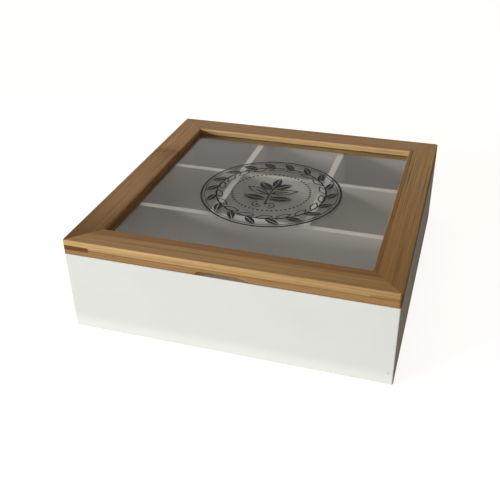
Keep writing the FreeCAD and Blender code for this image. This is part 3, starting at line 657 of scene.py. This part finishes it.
def draw_sprig(bm, sizes):
    """Upright sprig in the middle of the wreath: a bud, paired leaves and a curled foot."""
    line = sizes.line
    room = sizes.ring - SPRIG
    foot, top, bow = SPRIG_FOOT * room, SPRIG_TOP * room, SPRIG_BOW * room
    half = (top - foot) / 2 / bow
    ring_line(bm, bow, SPRIG_LINE * line, sweep=2 * half, start=pi - half, steps=16,
              centre=(bow, (foot + top) / 2))
    leaf(bm, BUD_LENGTH * room, BUD_WIDTH * room, (BUD_RIGHT * room, top - BUD_DOWN * room),
         BUD_ANGLE, vein=BUD_VEIN * line)
    for height, spread, length, solid in PAIRS:
        for side in (1, -1):
            right = side == 1
            heading = radians(spread) if right else pi - radians(spread + LEFT_STEEPER)
            stalk = (side * PAIR_OUT * room, (height - (0 if right else LEFT_LOWER)) * room)
            leaf(bm, length * room, PAIR_WIDTH * room, stalk, heading,
                 hollow=None if solid else PAIR_OUTLINE * line,
                 vein=PAIR_VEIN * line if solid else None)
            if not solid:
                leaf(bm, SLIM_LENGTH * length * room, SLIM_WIDTH * room, stalk, heading,
                     vein=INNER_VEIN * line)
    for side in (1, -1):
        centre = (side * CURL_OUT * room, foot - CURL_DOWN * room)
        ring_line(bm, CURL * room, CURL_LINE * line, sweep=CURL_SWEEP, start=-side * pi / 2,
                  steps=26, centre=centre)
        dot(bm, CURL_DOT * line, centre)


# ---------------------------------------------------------------- operators
BRAD_HEAD = 1.1 * MM

# Where the strips of a bar change, in millimetres from its outer side, or from the window.
FRONT_STRIP, RIGHT_STRIP, FACE_STRIP = 14.0, 18.8, 0.6
REVEAL = 0.8
# The growth joint of the left stile: its place in millimetres and the strength of its line.
LEFT_GROWTH = ((47.5, 0.28),)

# Each lamp's name, degrees left of the front and above the floor, distance and size in metres.
KEY_LAMP = ("key", 50, 10, 6.0, (3.2, 1.6))
OVERHEAD_LAMP = ("overhead", 0, 90, 1.7, (1.6, 1.6))
LAMPS_AIM = Vector((0, 0, 0.04))
CAMERA_PLACE = (0.142435, -0.492671, 0.335024)
CAMERA_TURN = (1.013944, 0.017044, 0.305677)
# The floor's own light towards the camera, where 1 is white.
FLOOR_GLOW = 0.86

# Where the backdrop ends and the ceiling's parts lie: 0 is level and 1 is straight up.
BACKDROP_END, CEILING_EDGE, CEILING_PLAIN, CEILING_SOFTBOX = 0.2, 0.41, 0.462, 0.56
CEILING_EDGE_LIGHT = 1.6


class TEABOX_OT_painted_wood(bpy.types.Operator):
    """Paint the walls, the bottom panel and the dividers, and ease the dividers' edges"""
    bl_idname = "teabox.painted_wood"
    bl_label = "Painted wood"

    def execute(self, context):
        sizes = context.scene.tea_box_paint
        low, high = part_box("corner_brads")
        spot = Vector((high.x - BRAD_HEAD, BOX_LOW.y, low.z + BRAD_HEAD))
        # The walls' rim and inner faces take painted shade.
        dress(WALLS, satin_paint("satin_acrylic_paint", opaque(sizes.wall), opaque(sizes.rim),
                                 WALL_TOP, sizes, spot))
        dress(["bottom_panel"], satin_paint("matt_inside_paint", opaque(sizes.inside)))
        # The dividers' lighter tops are a painted highlight.
        dress(LATTICE, satin_paint("divider_paint", opaque(sizes.dividers),
                                   opaque(sizes.divider_tops), DIVIDER_TOP))
        for name in LATTICE:
            ease_edges(name, sizes.divider_edge)
        return {"FINISHED"}


class TEABOX_OT_lid_frame(bpy.types.Operator):
    """Give each bar of the lid and each corner spline its own bamboo"""
    bl_idname = "teabox.lid_frame"
    bl_label = "Bamboo lid frame"

    def execute(self, context):
        sizes = context.scene.tea_box_bamboo
        window = HALF_SPAN - sizes.bar / MM
        inner = opaque(sizes.inner)
        bars = {
            "front_rail": {
                "strips": ((window, inner), (HALF_SPAN - FRONT_STRIP, opaque(sizes.front)),
                           (HALF_SPAN - FACE_STRIP, opaque(sizes.front_face),
                            opaque(sizes.front_face_right))),
                "ageing": (1.0, 0.0, opaque(sizes.front_aged)), "phase": 3.0},
            "back_rail": {
                "strips": ((window, opaque(sizes.face)), (window + REVEAL, opaque(sizes.back))),
                "phase": 163.0},
            "left_stile": {
                "strips": ((window, opaque(sizes.reveal)), (window + REVEAL, opaque(sizes.left))),
                "front_to_back": True, "ageing": (-1.0, -0.3, opaque(sizes.left_aged)),
                "growth": LEFT_GROWTH, "phase": 17.0, "contrast": 1.25},
            "right_stile": {
                "strips": ((window, inner), (HALF_SPAN - RIGHT_STRIP, opaque(sizes.right))),
                "front_to_back": True, "ageing": (-1.0, 0.9, opaque(sizes.right_aged)),
                "phase": 212.0, "contrast": 2.0, "fibre": 0.95},
        }
        for bar, looks in bars.items():
            dress(["lid_" + bar], strip_bamboo("bamboo_" + bar, sizes, lower=opaque(sizes.lower),
                                               **looks))
        dark, light = opaque(sizes.dark_spline), opaque(sizes.light_spline)
        dress(DARK_SPLINES, strip_bamboo("carbonised_bamboo_spline", sizes, ((0.0, dark),), dark,
                                         phase=7.0, mitred=False))
        dress(LIGHT_SPLINES, strip_bamboo("natural_bamboo_spline", sizes, ((0.0, light),), light,
                                          phase=13.0, mitred=False))
        return {"FINISHED"}


class TEABOX_OT_window(bpy.types.Operator):
    """Make the pane clear"""
    bl_idname = "teabox.window"
    bl_label = "Window glass"

    def execute(self, context):
        dress(["window_glass"], float_glass())
        return {"FINISHED"}


class TEABOX_OT_window_print(bpy.types.Operator):
    """Print a wreath and a sprig of leaves on the glass"""
    bl_idname = "teabox.window_print"
    bl_label = "Window print"

    def execute(self, context):
        sizes = context.scene.tea_box_print
        bm = bmesh.new()
        draw_wreath(bm, sizes)
        draw_sprig(bm, sizes)
        grown = bmesh.ops.extrude_face_region(bm, geom=bm.faces[:])["geom"]
        raised = [item for item in grown if isinstance(item, bmesh.types.BMVert)]
        bmesh.ops.translate(bm, verts=raised, vec=(0, 0, sizes.film))
        bmesh.ops.translate(bm, verts=bm.verts[:], vec=(0, 0, GLASS_HIGH.z + PRINT_GAP))
        new_piece("window_print", bm, screen_ink(opaque(sizes.ink)), LID)
        return {"FINISHED"}


class TEABOX_OT_metalwork(bpy.types.Operator):
    """Finish the hinges, their pins and screws, and the brads"""
    bl_idname = "teabox.metalwork"
    bl_label = "Hinges and brads"

    def execute(self, context):
        sizes = context.scene.tea_box_metal
        for names, material, colour, lines, roughness in (
                (PLATES, "nickel_plated_hinge_steel", sizes.plate, ROLLED, (0.26, 0.42)),
                (PINS + SCREWS, "nickel_plated_screw_steel", sizes.plate, TURNED, (0.22, 0.38)),
                (BRADS, "bright_drawn_wire", sizes.wire, DRAWN, (0.3, 0.45))):
            dress(names, plated_steel(material, opaque(colour), lines, *roughness))
        return {"FINISHED"}


class TEABOX_OT_stage(bpy.types.Operator):
    """Set the pale floor, the background, the lamps and the camera"""
    bl_idname = "teabox.stage"
    bl_label = "Stage"

    def execute(self, context):
        sizes = context.scene.tea_box_stage
        self.make_floor(sizes)
        self.make_world(context, sizes)
        self.make_lamp(context, *KEY_LAMP, sizes.key_power)
        self.make_lamp(context, *OVERHEAD_LAMP, sizes.top_power)
        self.make_camera(context, sizes)
        context.scene.view_settings.view_transform = "Standard"
        return {"FINISHED"}

    def make_floor(self, sizes):
        # Matt pale card. Towards the camera it adds light of its own, so that it runs into the
        # white background and still keeps a soft shadow.
        material, tree = new_material("pale_card_floor")
        paper = add(tree, "TexNoise", {"Vector": object_mm(tree, CARD_GRAIN), "Scale": 1.0,
                                       "Detail": 3.0})
        floor = opaque(sizes.floor)
        tone = add(tree, "ValToRGB", {"Fac": paper},
                   stops=((0.3, shade(floor, 0.99)), (0.7, floor)))
        card = add(tree, "BsdfDiffuse", {"Color": tone})
        path = add(tree, "LightPath")
        seen = add(tree, "Math", {0: path.outputs["Is Camera Ray"], 1: FLOOR_GLOW},
                   operation="MULTIPLY")
        glow = add(tree, "Emission", {"Strength": seen})
        both = add(tree, "AddShader", {0: card, 1: glow})
        add(tree, "OutputMaterial", {"Surface": both})
        bm = bmesh.new()
        bmesh.ops.create_grid(bm, x_segments=8, y_segments=8, size=sizes.floor_size / 2)
        floor_object = mesh_object("floor", bm, material)

    def make_world(self, context, sizes):
        # The white backdrop fills the view and ends well above the horizon, where glass and metal
        # mirror the dimmer ceiling of the studio.
        world = bpy.data.worlds.new("studio")
        world.use_nodes = True
        tree = world.node_tree
        tree.nodes.clear()
        path = add(tree, "LightPath")
        seen = add(tree, "Math", {0: path.outputs["Is Camera Ray"],
                                  1: path.outputs["Is Glossy Ray"]}, operation="MAXIMUM")
        seen = add(tree, "Math", {0: seen, 1: path.outputs["Is Transmission Ray"]},
                   operation="MAXIMUM")
        fill = add(tree, "Background", {"Color": opaque(sizes.fill),
                                        "Strength": sizes.fill_strength})
        direction = add(tree, "TexCoord").outputs["Generated"]
        height = add(tree, "SeparateXYZ", {0: direction}).outputs["Z"]
        ceiling = add(tree, "ValToRGB", {"Fac": height},
                      stops=((BACKDROP_END, grey(1.0)),
                             (CEILING_EDGE, grey(sizes.ceiling * CEILING_EDGE_LIGHT)),
                             (CEILING_PLAIN, grey(sizes.ceiling)),
                             (CEILING_SOFTBOX, grey(sizes.softbox))))
        bright = add(tree, "Math", {0: ceiling, 1: path.outputs["Is Camera Ray"]},
                     operation="MAXIMUM")
        white = add(tree, "Background", {"Color": grey(1.0), "Strength": bright})
        mixed = add(tree, "MixShader", {0: seen, 1: fill, 2: white})
        add(tree, "OutputWorld", {"Surface": mixed})
        context.scene.world = world

    def make_lamp(self, context, name, left, rise, distance, size, power):
        """Soft lamp, its place given in degrees left of the front and above the floor."""
        around, rise = radians(left), radians(rise)
        place = Vector((-sin(around) * cos(rise), -cos(around) * cos(rise), sin(rise))) * distance
        lamp = bpy.data.lights.new(name, "AREA")
        lamp.shape = "RECTANGLE"
        lamp.size, lamp.size_y = size
        lamp.energy = power
        holder = bpy.data.objects.new(name, lamp)
        holder.location = place
        holder.rotation_euler = (LAMPS_AIM - place).to_track_quat("-Z", "Y").to_euler()
        context.scene.collection.objects.link(holder)

    def make_camera(self, context, sizes):
        lens = bpy.data.cameras.new("camera")
        lens.lens = sizes.lens
        lens.sensor_width = 36.0
        lens.sensor_fit = "HORIZONTAL"
        lens.clip_start = 0.01
        camera = bpy.data.objects.new("camera", lens)
        camera.location = CAMERA_PLACE
        camera.rotation_euler = Euler(CAMERA_TURN, "XYZ")
        context.scene.collection.objects.link(camera)
        context.scene.camera = camera


class TEABOX_PT_pieces(bpy.types.Panel):
    """Buttons for every piece of the tea box"""
    bl_label = "Tea Box"
    bl_idname = "TEABOX_PT_pieces"
    bl_space_type = "VIEW_3D"
    bl_region_type = "UI"
    bl_category = "Tea Box"

    def draw(self, context):
        for operator in OPERATORS:
            self.layout.operator(operator.bl_idname)


OPERATORS = (
    TEABOX_OT_painted_wood,
    TEABOX_OT_lid_frame,
    TEABOX_OT_window,
    TEABOX_OT_window_print,
    TEABOX_OT_metalwork,
    TEABOX_OT_stage,
)
SETTINGS = {
    "tea_box_paint": PaintSettings,
    "tea_box_bamboo": BambooSettings,
    "tea_box_print": PrintSettings,
    "tea_box_metal": MetalSettings,
    "tea_box_stage": StageSettings,
}
CLASSES = (*SETTINGS.values(), *OPERATORS, TEABOX_PT_pieces)


def register():
    for item in CLASSES:
        bpy.utils.register_class(item)
    for name, group in SETTINGS.items():
        setattr(bpy.types.Scene, name, PointerProperty(type=group))


def unregister():
    for name in SETTINGS:
        delattr(bpy.types.Scene, name)
    for item in reversed(CLASSES):
        bpy.utils.unregister_class(item)


def main():
    register()
    bpy.ops.teabox.painted_wood()
    bpy.ops.teabox.lid_frame()
    bpy.ops.teabox.window()
    bpy.ops.teabox.window_print()
    bpy.ops.teabox.metalwork()
    bpy.ops.teabox.stage()


if __name__ == "__main__":
    main()
